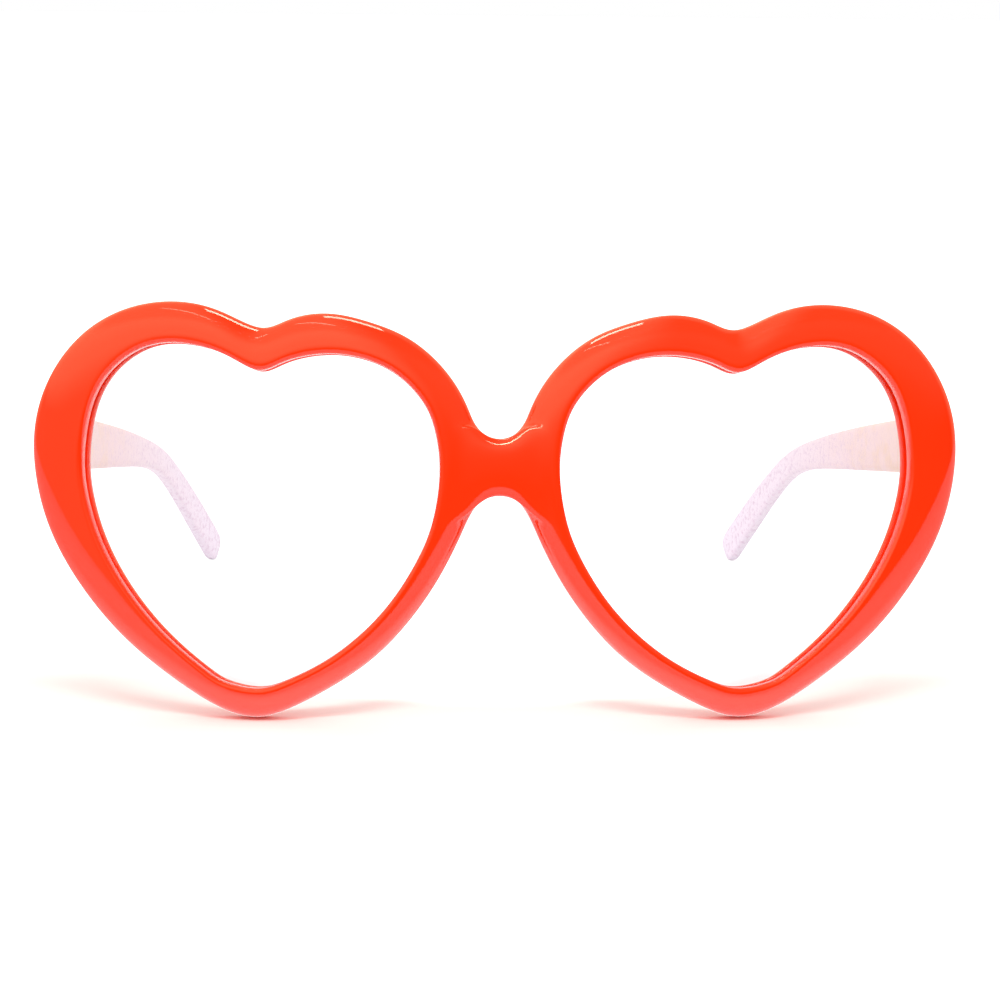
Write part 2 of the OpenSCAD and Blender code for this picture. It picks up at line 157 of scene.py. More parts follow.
# The rim's section as (share of the width, step, depth): the lip, the dome, the back, the groove.
# A ring close beside each corner keeps the smoothed mesh from rounding it further than moulding does.
corner = 0.12
lip_angles = (0, 30, 60)
dome_angles = (0, 10, 25, 40, 55, 68, 80, 90)
BACK_TURN = math.sqrt(0.5)
crest_step = lip_step + lip_r
rim_section = [
    (0, lip_step, lens_depth - corner),
    (0, lip_step, (lip_fall + lens_depth) / 2),
]
for angle in lip_angles:
    a = math.radians(angle)
    rim_section.append((0, lip_step + lip_r * (1 - math.cos(a)), lip_fall * (1 - math.sin(a))))
dome_start = len(rim_section)
for angle in dome_angles:
    a = math.radians(angle)
    rim_section.append(
        (math.sin(a), crest_step * (1 - math.sin(a)), dome_drop * (1 - math.cos(a)))
    )
rim_section += [
    (1, 0, rim_t - edge_round),
    (1, -edge_round * (1 - BACK_TURN), rim_t - edge_round * (1 - BACK_TURN)),
    (1, -edge_round, rim_t),
]
back_edge = len(rim_section) - 1
# Across the rim's back, the rows that the nose pad lifts, each with its share of the pad's height
PAD_ROWS = ((0.9, 0), (0.76, 0.75), (0.6, 1), (0.44, 0.75), (0.3, 0))
rim_section += [(share, 0, rim_t) for share, _ in PAD_ROWS]
rim_section += [
    (0, edge_round, rim_t),
    (0, edge_round * (1 - BACK_TURN), rim_t - edge_round * (1 - BACK_TURN)),
    (0, 0, rim_t - edge_round),
    (0, 0, groove_back + corner),
    (0, corner, groove_back),
    (0, groove_step - corner, groove_back),
    (0, groove_step, groove_back - corner),
    (0, groove_step, lens_depth + corner),
    (0, groove_step - corner, lens_depth),
    (0, lip_step + corner, lens_depth),
]

# The nose pads are moulded swellings on the backs of the rims, between these points of the outline
pad_proud = 2.6
PAD_POINTS = (15.9, 16.9, 18.0, 18.9)


def pad_lift(t, row):
    lift = dict(enumerate((share for _, share in PAD_ROWS), back_edge + 1)).get(row, 0)
    start, full, last, end = PAD_POINTS
    swell = min((t - start) / (full - start), (end - t) / (end - last), 1)
    return pad_proud * lift * (1 - math.cos(math.pi * max(swell, 0))) / 2


def corners_of(geometry):
    return [g for g in geometry if isinstance(g, bmesh.types.BMVert)]


def first_ring(bm, count, place_of):
    """A closed ring of edges whose corners know their place along it."""
    corners = bmesh.ops.create_circle(bm, segments=count, radius=1)["verts"]
    for i, v in enumerate(corners):
        v[place_of] = i
    return list(bm.edges), corners


def next_ring(bm, edges):
    """Extrudes a ring of edges and gives the new ring's edges and corners."""
    drawn = bmesh.ops.extrude_edge_only(bm, edges=edges)["geom"]
    corners = corners_of(drawn)
    kept = set(corners)
    edges = [g for g in drawn if isinstance(g, bmesh.types.BMEdge) and kept.issuperset(g.verts)]
    return edges, corners


# Each rim is one ring of edges, drawn out round its section and closed on itself
places_per_point = 3
places = len(RIM_SHARES) * places_per_point
bm = bmesh.new()
place_of = bm.verts.layers.int.new("place")
row_of = bm.verts.layers.int.new("row")
first_edges, ring = first_ring(bm, places, place_of)
ring_edges = first_edges
for row, (share, step, depth) in enumerate(rim_section):
    if row:
        ring_edges, ring = next_ring(bm, ring_edges)
    for v in ring:
        t = v[place_of] / places_per_point
        v[row_of] = row
        v.co = rim_at(t, share, step, depth + pad_lift(t, row))
bmesh.ops.bridge_loops(bm, edges=first_edges + ring_edges)

# The bridge: both rims open towards each other, and a waisted bar joins the openings
bridge_h = 9.7
bridge_step = 0.3
saddle_r = 4.8
arch_r = 5.6
BRIDGE_SHARE = 0.601
FILLET_SHARE = 0.96
FACE_ANGLE = 54
FACE_SHARE = 0.36
bridge_z = BRIDGE_SHARE * heart_h
bridge_places = (56, 63)
bridge_first_angle = 25
bridge_rows = (dome_start + dome_angles.index(bridge_first_angle), back_edge)
bridge_rings = 5
mirrored = Matrix.Scale(-1, 4, (1, 0, 0))
opened = [
    f for f in bm.faces
    if all(
        bridge_places[0] <= v[place_of] <= bridge_places[1]
        and bridge_rows[0] <= v[row_of] <= bridge_rows[1]
        for v in f.verts
    )
]
bmesh.ops.delete(bm, geom=opened, context="FACES")
other = bmesh.ops.duplicate(bm, geom=bm.verts[:] + bm.edges[:] + bm.faces[:])["geom"]
bmesh.ops.transform(bm, matrix=mirrored, verts=corners_of(other))
bmesh.ops.reverse_faces(bm, faces=[g for g in other if isinstance(g, bmesh.types.BMFace)])
mouths = [e for e in bm.edges if e.is_boundary]
mouth_z = [v.co.z - bridge_z for e in mouths for v in e.verts]
bmesh.ops.bridge_loops(bm, edges=mouths)
across = [e for e in bm.edges if e.verts[0].co.x * e.verts[1].co.x < 0]
made = bmesh.ops.subdivide_edges(bm, edges=across, cuts=bridge_rings)["geom_inner"]


def half_height(x, side):
    """Half the bridge's height at x, above its middle (side > 0) or below it."""
    r = saddle_r if side > 0 else arch_r
    return bridge_h / 2 + r - math.sqrt(r * r - min(abs(x), FILLET_SHARE * r) ** 2)


def bridge_middle(place, row):
    """Height, as a share of the bridge's half, and depth at the bridge's middle."""
    rise = (2 * place - sum(bridge_places)) / (bridge_places[1] - bridge_places[0])
    if row < dome_start + len(dome_angles):
        turned = dome_angles[row - dome_start] - bridge_first_angle
        turned /= 90 - bridge_first_angle
        a = math.radians(rise * (FACE_ANGLE + (90 - FACE_ANGLE) * turned))
        flat = bridge_step + dome_drop * (1 - math.cos(a) ** FACE_SHARE)
        return math.copysign(abs(math.sin(a)) ** FACE_SHARE, a), flat
    _, step, depth = rim_section[row]
    return rise * (1 + 2 * step / bridge_h), depth - bridge_step


for v in corners_of(made):
    place, row, x = v[place_of], v[row_of], v.co.x
    mouth = rim_at(place / places_per_point, *rim_section[row])
    rise = mouth.z - bridge_z
    height = rise / (max(mouth_z) if rise > 0 else -min(mouth_z))
    depth = rim_section[row][2]
    share = 1 - (x / mouth.x) ** 2
    middle_height, middle_depth = bridge_middle(place, row)
    height += share * (middle_height - height)
    depth += share * (middle_depth - depth)
    v.co = (x, depth + sag(x), bridge_z + height * half_height(x, rise))


def srgb(code, alpha=1.0):
    """A colour from its hex code, as the light that a node works with."""
    channels = [int(code[k:k + 2], 16) / 255 for k in (1, 3, 5)]
    return [c / 12.92 if c < 0.04045 else ((c + 0.055) / 1.055) ** 2.4 for c in channels] + [alpha]


def new_tree(owner):
    owner.use_nodes = True
    owner.node_tree.nodes.clear()
    return owner.node_tree


def add(tree, kind, settings, links):
    """Adds a node: settings are its own values, links its inputs, each a value or a socket."""
    node = tree.nodes.new(kind)
    for name, value in settings.items():
        setattr(node, name, value)
    for name, value in links.items():
        socket = node.inputs[name]
        if isinstance(value, bpy.types.NodeSocket):
            tree.links.new(value, socket)
        else:
            socket.default_value = value
    return node


# Polycarbonate dyed through and moulded against a mirror-polished tool, which gives the deep
# orange-red its wet, sharp gloss. Faint clouds in the dye, 16 mm across, keep it from being flat.
MM = 0.001
plastic = bpy.data.materials.new("polished_red_plastic")
tree = new_tree(plastic)
place_node = add(tree, "ShaderNodeTexCoord", {}, {})
clouds = add(tree, "ShaderNodeTexNoise", {}, {
    "Vector": place_node.outputs["Object"], "Scale": 1 / (16 * MM), "Detail": 2,
})
dye = add(tree, "ShaderNodeMix", {"data_type": "RGBA"}, {
    "Factor": clouds.outputs["Fac"], "A": srgb("#ff330b"), "B": srgb("#fe360d"),
})
shader = add(tree, "ShaderNodeBsdfPrincipled", {}, {
    "Base Color": dye.outputs["Result"], "Roughness": 0.05, "IOR": 1.55,
})
add(tree, "ShaderNodeOutputMaterial", {}, {"Surface": shader.outputs["BSDF"]})

# The glasses lean back from the tips of the hearts to the tips of the temples, so each piece is
# modelled upright and set down last, by the fold joint's axis and the hinge's own middle.
HINGE_SHARE = 0.666
block_inset = 1.4
block_d = 3.1
temple_t = 3.7
barrel_r = 1.3
barrel_gap = 0.1
outer_x = front_w / 2 - block_inset
joint_y = rim_t + sag(outer_x) + block_d
hinge_z = HINGE_SHARE * heart_h
face_x = outer_x - temple_t
hinge_axis = Vector((
    face_x - barrel_r - 4 * barrel_gap, joint_y + barrel_r + 2 * barrel_gap, hinge_z
))
fold = next(j for j in frame["joints"] if j["name"] == "temple_right_fold")
lean = math.atan2(fold["axis"][1], fold["axis"][2])
upright = Matrix.Rotation(-lean, 4, "X") @ Matrix.Scale(MM, 4)
stand = Matrix.Translation(Vector(fold["pos_m"]) - upright @ hinge_axis) @ upright


def finished(bm, name, body, material, sharp=40):
    """Sets an upright piece down, shades it smooth and lets it ride on its body."""
    bmesh.ops.transform(bm, matrix=stand, verts=bm.verts)
    bmesh.ops.recalc_face_normals(bm, faces=bm.faces)
    mesh = bpy.data.meshes.new(name)
    bm.to_mesh(mesh)
    bm.free()
    mesh.shade_smooth()
    mesh.set_sharp_from_angle(angle=math.radians(sharp))
    piece = bpy.data.objects.new(name, mesh)
    bpy.context.scene.collection.objects.link(piece)
    mesh.materials.append(material)
    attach(piece, body)
    return piece


def subdivided(piece, levels=2):
    modifier = piece.modifiers.new("Smooth", "SUBSURF")
    modifier.levels = levels
    modifier.render_levels = levels


front = finished(bm, "front", "front", plastic, sharp=180)
subdivided(front)
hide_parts("front_frame")

# The end pieces: a block on the back of each rim, moulded in one with the front of the same
# plastic. It carries the hinge, whose leaf is let into a pocket in its back, and has rounded
# corners and edges, as the mould leaves them.
block_h = 10.8
block_corner_r = 1.2
front_leaf_w = 3.2
front_leaf_h = 9.7
leaf_t = 0.8
pocket_clear = 0.05
block_x = front_w / 2 - rim_side_w + edge_round
block_w = outer_x - block_x
block_middle = Vector(((block_x + outer_x) / 2, joint_y, hinge_z))
leaf_middle = Vector((hinge_axis.x, joint_y, hinge_z))
back_outline = (block_w - 3 * edge_round / 2, block_h - 3 * edge_round / 2)
SIDES = (("right", Matrix.Identity(4)), ("left", mirrored))
for side, facing in SIDES:
    bm = bmesh.new()
    shape = Matrix.Diagonal((block_w, block_d, block_h, 1))
    bmesh.ops.create_cube(
        bm, size=1, matrix=Matrix.Translation(block_middle - Vector((0, block_d / 2, 0))) @ shape
    )
    bmesh.ops.bevel(
        bm, geom=[e for e in bm.edges if abs(e.verts[0].co.y - e.verts[1].co.y) > block_d / 2],
        offset=block_corner_r, affect="EDGES", segments=5, profile=0.5, material=-1,
    )
    back = max(bm.faces, key=lambda f: f.calc_center_median().y)
    bmesh.ops.bevel(
        bm, geom=list(back.edges), offset=edge_round / 2, affect="EDGES", segments=3,
        profile=0.5, material=-1,
    )
    # The pocket for the leaf
    back = max(bm.faces, key=lambda f: f.calc_center_median().y)
    bmesh.ops.inset_region(bm, faces=[back], thickness=edge_round / 2)
    fit = Matrix.Diagonal((
        (front_leaf_w + 2 * pocket_clear) / back_outline[0], 1,
        (front_leaf_h + 2 * pocket_clear) / back_outline[1], 1,
    ))
    bmesh.ops.transform(
        bm, verts=list(back.verts),
        matrix=Matrix.Translation(leaf_middle) @ fit @ Matrix.Translation(-block_middle),
    )
    sunk = bmesh.ops.extrude_face_region(bm, geom=[back])["geom"]
    bmesh.ops.delete(bm, geom=[back], context="FACES_ONLY")
    bmesh.ops.translate(bm, vec=(0, -leaf_t, 0), verts=corners_of(sunk))
    bmesh.ops.transform(bm, matrix=facing, verts=bm.verts)
    finished(bm, "end_piece_" + side, "front", plastic)

# The lenses: two heart shaped windows, cut from a clear acrylic sheet with polished faces and
# bent to the wrap of the front. Their edges sit in the grooves of the rims.
lens_front = lens_depth + lens_clear
LENS_SHARES = (1, 0.985, 0.94, 0.86, 0.74, 0.6, 0.45, 0.3, 0.16, 0.06)

# Cast acrylic, polished on both faces, so it is as good as unseen but for its reflections. The
# bending leaves a ripple 40 mm long and too shallow to see as such. Shadows and matt light go
# straight through it, as through any thin clear sheet.
acrylic = bpy.data.materials.new("clear_acrylic")
tree = new_tree(acrylic)
place_node = add(tree, "ShaderNodeTexCoord", {}, {})
ripple = add(tree, "ShaderNodeTexNoise", {}, {
    "Vector": place_node.outputs["Object"], "Scale": 1 / (40 * MM), "Detail": 0,
})
bump = add(tree, "ShaderNodeBump", {}, {
    "Height": ripple.outputs["Fac"], "Strength": 0.05, "Distance": 0.1 * MM,
})
glass = add(tree, "ShaderNodeBsdfPrincipled", {}, {
    "Base Color": srgb("#ffffff"), "Roughness": 0.0, "IOR": 1.49, "Transmission Weight": 1.0,
    "Normal": bump.outputs["Normal"],
})
see_through = add(tree, "ShaderNodeBsdfTransparent", {}, {})
rays = add(tree, "ShaderNodeLightPath", {}, {})
lit = add(tree, "ShaderNodeMath", {"operation": "MAXIMUM"}, {
    0: rays.outputs["Is Shadow Ray"], 1: rays.outputs["Is Diffuse Ray"],
})
let_through = add(tree, "ShaderNodeMixShader", {}, {
    "Fac": lit.outputs["Value"], 1: glass.outputs["BSDF"], 2: see_through.outputs["BSDF"],
})
add(tree, "ShaderNodeOutputMaterial", {}, {"Surface": let_through.outputs["Shader"]})

for side, facing in SIDES:
    bm = bmesh.new()
    place_of = bm.verts.layers.int.new("place")
    edges, corners = first_ring(bm, places, place_of)
    rim_points = [
        rim_at(i / places_per_point, 0, lens_edge, lens_front) for i in range(places)
    ]
    middle = sum(rim_points, Vector()) / places
    for k, share in enumerate(LENS_SHARES):
        if k:
            edges, corners = next_ring(bm, edges)
        for v in corners:
            p = middle + (rim_points[v[place_of]] - middle) * share
            v.co = (p.x, lens_front + sag(p.x), p.z)
    bmesh.ops.contextual_create(bm, geom=edges)
    bmesh.ops.recalc_face_normals(bm, faces=bm.faces)
    if bm.faces[0].normal.y > 0:
        bmesh.ops.reverse_faces(bm, faces=bm.faces)
    bmesh.ops.solidify(bm, geom=bm.faces, thickness=lens_t)
    bmesh.ops.transform(bm, matrix=facing, verts=bm.verts)
    lens = finished(bm, "lens_" + side + "_clear", "front", acrylic)
    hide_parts("lens_" + side)

# The hinges: on each side two stamped steel leaves with rolled barrels, let into the end piece
# and the temple and held by small slotted screws. The CAD solids have their real shape, so
# they stay and only get their materials here.

# Steel strip, brushed before stamping: fine lines along each leaf, 1.1 mm long and a twelfth of
# that wide, that spread the highlights. Real ones are finer and would vanish at this size.
steel = bpy.data.materials.new("stamped_steel")
tree = new_tree(steel)
place_node = add(tree, "ShaderNodeTexCoord", {}, {})
stretched = add(tree, "ShaderNodeMapping", {}, {
    "Vector": place_node.outputs["Object"], "Scale": (1, 1, 12),
})
grain = add(tree, "ShaderNodeTexNoise", {}, {
    "Vector": stretched.outputs["Vector"], "Scale": 1 / (1.1 * MM), "Detail": 3,
})
tone = add(tree, "ShaderNodeMix", {"data_type": "RGBA"}, {
    "Factor": grain.outputs["Fac"], "A": srgb("#b4b3b0"), "B": srgb("#d8d7d4"),
})
wear = add(tree, "ShaderNodeMapRange", {}, {
    "Value": grain.outputs["Fac"], "To Min": 0.22, "To Max": 0.36,
})
shader = add(tree, "ShaderNodeBsdfPrincipled", {}, {
    "Base Color": tone.outputs["Result"], "Metallic": 1.0, "Roughness": wear.outputs["Result"],
})
add(tree, "ShaderNodeOutputMaterial", {}, {"Surface": shader.outputs["BSDF"]})

# Steel screws, tumbled and nickel plated: warmer and brighter than the leaves, with soft dents
# from tumbling, 0.4 mm across, that make the small heads glint unevenly.
nickel = bpy.data.materials.new("nickel_plated_screws")
tree = new_tree(nickel)
place_node = add(tree, "ShaderNodeTexCoord", {}, {})
grain = add(tree, "ShaderNodeTexNoise", {}, {
    "Vector": place_node.outputs["Object"], "Scale": 1 / (0.4 * MM), "Detail": 2,
})
tone = add(tree, "ShaderNodeMix", {"data_type": "RGBA"}, {
    "Factor": grain.outputs["Fac"], "A": srgb("#c9c4b8"), "B": srgb("#e6e2d8"),
})
wear = add(tree, "ShaderNodeMapRange", {}, {
    "Value": grain.outputs["Fac"], "To Min": 0.14, "To Max": 0.26,
})
shader = add(tree, "ShaderNodeBsdfPrincipled", {}, {
    "Base Color": tone.outputs["Result"], "Metallic": 1.0, "Roughness": wear.outputs["Result"],
})
add(tree, "ShaderNodeOutputMaterial", {}, {"Surface": shader.outputs["BSDF"]})

for name, node in frame["nodes"].items():
    if "hinge_leaf" in name or "screw" in name:
        node.data.materials.clear()
        node.data.materials.append(steel if "hinge_leaf" in name else nickel)

# The temples: thin blades cut from a pale marbled plastic sheet, wide at the hinge, slim behind
# the face and bent down round the ear with heat. The hinge leaf is screwed to their inside.
temple_l = 119
temple_h = 10.6
toe_in = 20.4
ear_drop = 20
joint_gap = 0.15
# Along the blade, as shares of length, toe-in, ear drop, height and thickness
TEMPLE_SHARES = [
    (0.00, 0.000, 0.000, 1.00, 1.00), (0.05, 0.000, 0.000, 0.99, 1.00),
    (0.11, 0.000, 0.000, 0.98, 0.98), (0.29, 0.085, 0.000, 0.90, 0.90),
    (0.50, 0.265, 0.010, 0.74, 0.81), (0.65, 0.430, 0.045, 0.57, 0.76),
    (0.75, 0.555, 0.130, 0.51, 0.74), (0.83, 0.675, 0.325, 0.54, 0.73),
    (0.91, 0.815, 0.610, 0.60, 0.73), (1.00, 1.000, 1.000, 0.62, 0.73),
]
SECTION_SHARE = 0.5
leaf_proud = 0.04
path_scale = (temple_l, -toe_in, -ear_drop, temple_h, temple_t)
path = settled(
    [[s * k for s, k in zip(shares, path_scale)] for shares in TEMPLE_SHARES], closed=False
)
path_steps = 5
path_spans = len(path) - 1
tip_l = TEMPLE_SHARES[-1][3] * temple_h / 2


def station(t):
    """Distance along, inwards and down, height and thickness at place t of the blade."""
    i = min(int(t), path_spans - 1)
    before = path[i - 1] if i else [2 * a - b for a, b in zip(path[0], path[1])]
    after = path[i + 2] if i + 2 < len(path) else [2 * a - b for a, b in zip(path[-1], path[-2])]
    return blended(before, path[i], path[i + 1], after, t - i)


def centre(t):
    along, inwards, down = station(t)[:3]
    return Vector((face_x + temple_t / 2 + inwards, joint_y + joint_gap + along, hinge_z + down))


def direction(t, span=0.05):
    if t < 1:
        return Vector((0, 1, 0))
    return (centre(min(t + span, path_spans)) - centre(t - span)).normalized()


def bent(share):
    """Fills out a circle's sine or cosine to that of a rounded rectangle."""
    return math.copysign(abs(share) ** SECTION_SHARE, share)


def blade_corner(t, angle, scale, ahead, trim):
    """A corner of the blade's section at place t; trim takes a length off its half sizes."""
    height, thickness = station(t)[3:]
    d = direction(t)
    outwards = Vector((d.y, -d.x, 0)).normalized()
    upwards = outwards.cross(d)
    thick = scale * thickness / 2 - trim
    tall = scale * height / 2 - trim
    return (
        centre(t) + d * ahead
        + outwards * thick * bent(math.cos(angle)) + upwards * tall * bent(math.sin(angle))
    )


# Rings along the blade as (place, scale, ahead, trim): the butt's rounded edge, blade, tip
round_edge = 0.35
edge_middle = 0.3 * round_edge
tip_angles = (20, 40, 58, 72, 82)
blade_rings = [
    (0, 0.5, 0, leaf_proud), (0, 1, 0, round_edge), (0, 1, edge_middle, edge_middle),
    (0, 1, round_edge, leaf_proud),
]
blade_rings += [
    (i / path_steps, 1, 0, leaf_proud) for i in range(1, path_spans * path_steps + 1)
]
blade_rings += [
    (path_spans, math.cos(math.radians(a)), tip_l * math.sin(math.radians(a)), leaf_proud)
    for a in tip_angles
]

# Marbled plastic, tumbled to a satin gloss that only softly mirrors the room. Peach at the hinge
# with beige swirls 8 mm across, it turns pink and then lilac, with flecks 0.8 mm across that lie
# denser towards the ear. The tint runs along the blade, from the hinge to the ear.
tint_start = -0.045
tint_end = 0.065
blade = bpy.data.materials.new("marbled_pale_plastic")
tree = new_tree(blade)
place_node = add(tree, "ShaderNodeTexCoord", {}, {})
apart = add(tree, "ShaderNodeSeparateXYZ", {}, {"Vector": place_node.outputs["Object"]})
reach = add(tree, "ShaderNodeMapRange", {}, {
    "Value": apart.outputs["Y"], "From Min": tint_start, "From Max": tint_end,
})
tint = add(tree, "ShaderNodeValToRGB", {}, {"Fac": reach.outputs["Result"]})
ramp = tint.color_ramp
for element, position, code in zip(ramp.elements, (0.0, 1.0), ("#fce0d6", "#fdf0ff")):
    element.position, element.color = position, srgb(code)
for position, code in ((0.22, "#fde3df"), (0.45, "#fce4ea"), (0.8, "#fdeefb")):
    ramp.elements.new(position).color = srgb(code)
swirls = add(tree, "ShaderNodeTexNoise", {}, {
    "Vector": place_node.outputs["Object"], "Scale": 1 / (8 * MM), "Detail": 2, "Distortion": 1.5,
})
swirl_share = add(tree, "ShaderNodeMapRange", {}, {
    "Value": swirls.outputs["Fac"], "From Min": 0.45, "From Max": 0.65, "To Max": 0.8,
})
fading = add(tree, "ShaderNodeMapRange", {}, {
    "Value": reach.outputs["Result"], "From Max": 0.6, "To Min": 1.0, "To Max": 0.0,
})
swirl_part = add(tree, "ShaderNodeMath", {"operation": "MULTIPLY"}, {
    0: swirl_share.outputs["Result"], 1: fading.outputs["Result"],
})
swirled = add(tree, "ShaderNodeMix", {"data_type": "RGBA"}, {
    "Factor": swirl_part.outputs["Value"], "A": tint.outputs["Color"], "B": srgb("#f6d8be"),
})
specks = add(tree, "ShaderNodeTexNoise", {}, {
    "Vector": place_node.outputs["Object"], "Scale": 1 / (0.8 * MM), "Detail": 2,
})
speck_share = add(tree, "ShaderNodeMapRange", {}, {
    "Value": specks.outputs["Fac"], "From Min": 0.5, "From Max": 0.7, "To Max": 0.7,
})
denser = add(tree, "ShaderNodeMapRange", {}, {
    "Value": reach.outputs["Result"], "From Max": 0.8, "To Min": 0.25, "To Max": 1.0,
})
speckled = add(tree, "ShaderNodeMath", {"operation": "MULTIPLY"}, {
    0: speck_share.outputs["Result"], 1: denser.outputs["Result"],
})
marbled = add(tree, "ShaderNodeMix", {"data_type": "RGBA"}, {
    "Factor": speckled.outputs["Value"], "A": swirled.outputs["Result"], "B": srgb("#e5cae1"),
})
shader = add(tree, "ShaderNodeBsdfPrincipled", {}, {
    "Base Color": marbled.outputs["Result"], "Roughness": 0.38, "IOR": 1.5,
    "Specular IOR Level": 0.3,
})
add(tree, "ShaderNodeOutputMaterial", {}, {"Surface": shader.outputs["BSDF"]})

section_corners = 24
for side, facing in SIDES:
    bm = bmesh.new()
    place_of = bm.verts.layers.int.new("place")
    edges, corners = first_ring(bm, section_corners, place_of)
    bmesh.ops.contextual_create(bm, geom=edges)
    for k, (t, scale, ahead, trim) in enumerate(blade_rings):
        if k:
            edges, corners = next_ring(bm, edges)
        for v in corners:
            angle = 2 * math.pi * (v[place_of] + 0.5) / section_corners
            v.co = blade_corner(t, angle, scale, ahead, trim)
    bmesh.ops.contextual_create(bm, geom=edges)
    bmesh.ops.transform(bm, matrix=facing, verts=bm.verts)
    piece = finished(
        bm, "temple_" + side + "_blade", "temple_" + side + "_body", blade, 180
    )
    subdivided(piece)
    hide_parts("temple_" + side)

# The table that the glasses stand on, a wide sheet of white matt board. Only the shadows close to the
# front show on it. Farther off, a painted glow that the camera and the views through the lenses see
# brings it up to white and wipes out the shadows there, so that it runs into the white background.
floor_size = 6
near_y = cad_bounds[0][1]
bm = bmesh.new()
bmesh.ops.create_grid(bm, x_segments=1, y_segments=1, size=floor_size)
floor_mesh = bpy.data.meshes.new("floor")
bm.to_mesh(floor_mesh)
bm.free()
floor = bpy.data.objects.new("floor", floor_mesh)
bpy.context.scene.collection.objects.link(floor)

table = bpy.data.materials.new("white_table")
tree = new_tree(table)
rays = add(tree, "ShaderNodeLightPath", {}, {})
place_node = add(tree, "ShaderNodeTexCoord", {}, {})
# The distance from the front's foot, with widths squeezed so that it is a band along the front
band_squeeze = 0.2
squeezed = add(tree, "ShaderNodeMapping", {}, {
    "Vector": place_node.outputs["Object"], "Location": (0, -near_y, 0),
    "Scale": (band_squeeze, 1, 1),
})
aside = add(tree, "ShaderNodeVectorMath", {"operation": "LENGTH"}, {
    0: squeezed.outputs["Vector"],
})
# Painted glow: from 30 to 60 mm out of that band the table is lifted to white, which also wipes out
# the temples' shadows there
far = add(tree, "ShaderNodeMapRange", {"interpolation_type": "SMOOTHSTEP"}, {
    "Value": aside.outputs["Value"], "From Min": 0.03, "From Max": 0.06, "To Min": 0.0,
    "To Max": 0.6,
})
# The ground between the temples is lifted to white too. This painted glow wipes out the shadows that
# the bridge and the upper rims cast there, so that only the crescents at the hearts' feet stay.
ground_y = near_y + 0.075
away = add(tree, "ShaderNodeVectorMath", {"operation": "DISTANCE"}, {
    0: place_node.outputs["Object"], 1: (0, ground_y, 0),
})
inside = add(tree, "ShaderNodeMapRange", {"interpolation_type": "SMOOTHSTEP"}, {
    "Value": away.outputs["Value"], "From Min": 0.066, "From Max": 0.055, "To Min": 0.0,
    "To Max": 0.6,
})
back = add(tree, "ShaderNodeMath", {"operation": "MAXIMUM"}, {
    0: far.outputs["Result"], 1: inside.outputs["Result"],
})
seen = add(tree, "ShaderNodeMath", {"operation": "MAXIMUM"}, {
    0: rays.outputs["Is Camera Ray"], 1: rays.outputs["Is Transmission Ray"],
})
# The painted glow is added only where the camera looks, straight at the table or through the lenses
painted_glow_seen = add(tree, "ShaderNodeMath", {"operation": "MULTIPLY"}, {
    0: seen.outputs["Value"], 1: back.outputs["Value"],
})
# What the gloss mirrors of the table is a painted glow that only reflections see, bright close to the
# front and dark farther off
near = add(tree, "ShaderNodeMapRange", {"interpolation_type": "SMOOTHSTEP"}, {
    "Value": aside.outputs["Value"], "From Max": 0.04, "To Min": 1.5, "To Max": 0.1,
})
mirrored_ray = add(tree, "ShaderNodeMath", {"operation": "MULTIPLY"}, {
    0: rays.outputs["Is Glossy Ray"], 1: rays.outputs["Is Reflection Ray"],
})
shown = add(tree, "ShaderNodeMix", {"data_type": "FLOAT"}, {
    "Factor": mirrored_ray.outputs["Value"], "A": painted_glow_seen.outputs["Value"],
    "B": near.outputs["Result"],
})
# The camera sees the table's white tinted warm. This is a painted tint, which shows only in the
# shadows, where it stands in for the red light that the frame throws into them.
tone = add(tree, "ShaderNodeMix", {"data_type": "RGBA"}, {
    "Factor": rays.outputs["Is Camera Ray"], "A": srgb("#eaeaea"), "B": srgb("#fff6f0"),
})
matt = add(tree, "ShaderNodeBsdfDiffuse", {}, {"Color": tone.outputs["Result"]})
lift = add(tree, "ShaderNodeEmission", {}, {
    "Color": srgb("#ffffff"), "Strength": shown.outputs["Result"],
})
both = add(tree, "ShaderNodeAddShader", {}, {0: matt.outputs["BSDF"], 1: lift.outputs["Emission"]})
add(tree, "ShaderNodeOutputMaterial", {}, {"Surface": both.outputs["Shader"]})
floor_mesh.materials.append(table)

# The room: white to the eye and behind the glasses, dark low down on the camera's side, and with
# a warm glow high up in what the gloss mirrors, brighter on the left
world = bpy.data.worlds.new("studio")
bpy.context.scene.world = world
tree = new_tree(world)
place_node = add(tree, "ShaderNodeTexCoord", {}, {})
apart = add(tree, "ShaderNodeSeparateXYZ", {}, {"Vector": place_node.outputs["Generated"]})
rays = add(tree, "ShaderNodeLightPath", {}, {})
mirrored_height = add(tree, "ShaderNodeValToRGB", {}, {"Fac": apart.outputs["Z"]})
ramp = mirrored_height.color_ramp
ramp.interpolation = "EASE"
for element, position, strength in zip(ramp.elements, (0.14, 1.0), (0.0, 0.65)):
    element.position, element.color = position, (strength, strength, strength, 1)
for position, strength in ((0.42, 0.85), (0.65, 1.0), (0.8, 0.7)):
    ramp.elements.new(position).color = (strength, strength, strength, 1)
lit_height = add(tree, "ShaderNodeMapRange", {"interpolation_type": "SMOOTHSTEP"}, {
    "Value": apart.outputs["Z"], "From Min": 0.15, "From Max": 0.6, "To Min": 0.0, "To Max": 1.12,
})
lit_front = add(tree, "ShaderNodeMapRange", {"interpolation_type": "SMOOTHSTEP"}, {
    "Value": apart.outputs["Y"], "From Min": -0.5, "From Max": 0.4, "To Min": 0.85, "To Max": 0.45,
})
lit_upward = add(tree, "ShaderNodeMath", {"operation": "MULTIPLY"}, {
    0: lit_height.outputs["Result"], 1: lit_front.outputs["Result"],
})
